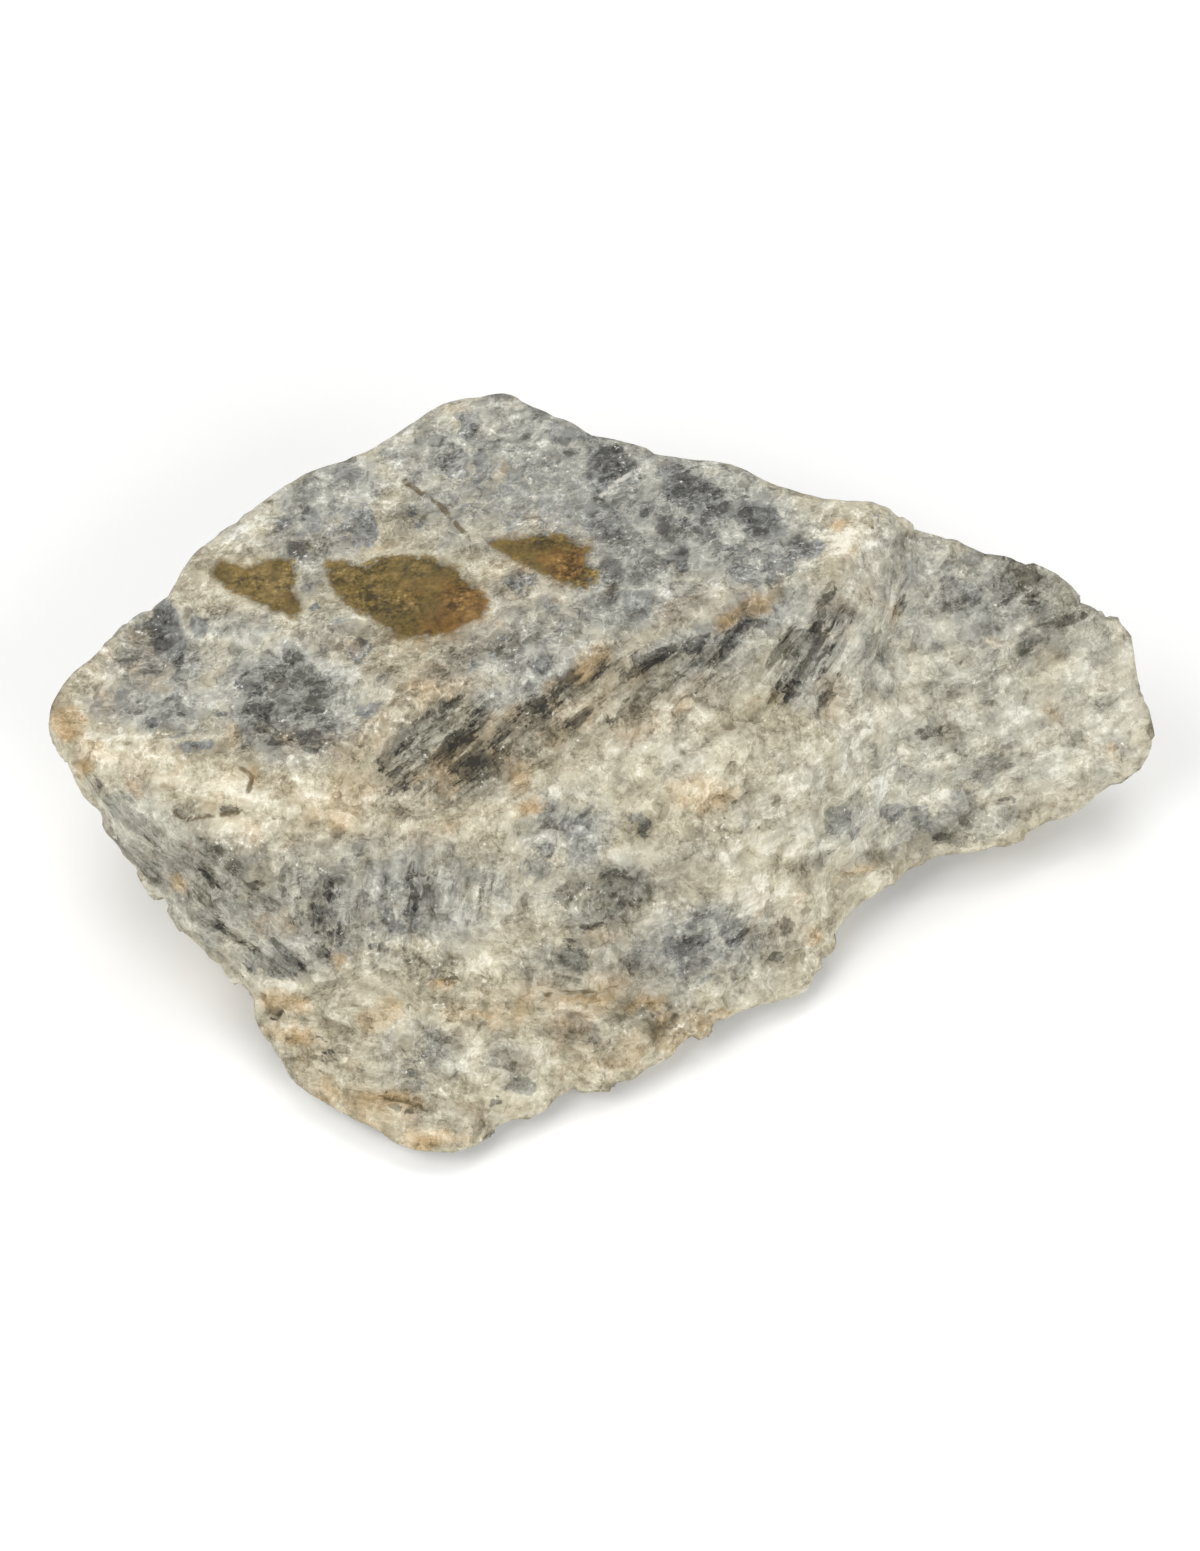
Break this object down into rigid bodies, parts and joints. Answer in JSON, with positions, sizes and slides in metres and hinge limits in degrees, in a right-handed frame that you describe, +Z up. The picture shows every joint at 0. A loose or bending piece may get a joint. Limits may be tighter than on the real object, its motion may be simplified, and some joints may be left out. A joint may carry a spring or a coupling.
{
  "type": "raw labradorite",
  "caption": "Hand-sized raw lump of pale grey feldspar rock with a flat cleavage top, a streaked step, a ragged front and a blunt arm, lying on a flat broken face.",
  "frame": {"origin": "middle of the length and the depth, on the surface that the stone rests on", "axes": "+Z up, from the face it rests on to the flat cleavage top; +X along the length, towards the blunt arm; -Y towards the streaked, ragged front"},
  "size_m": [0.1214, 0.0848, 0.0397],
  "materials": {
    "rough_labradorite": "broken and cleaved, matt to slightly pearly, mottled cream and blue-grey with ochre stains"
  },
  "bodies": {
    "root": {"labradorite": "rough_labradorite"}
  },
  "joints": []
}
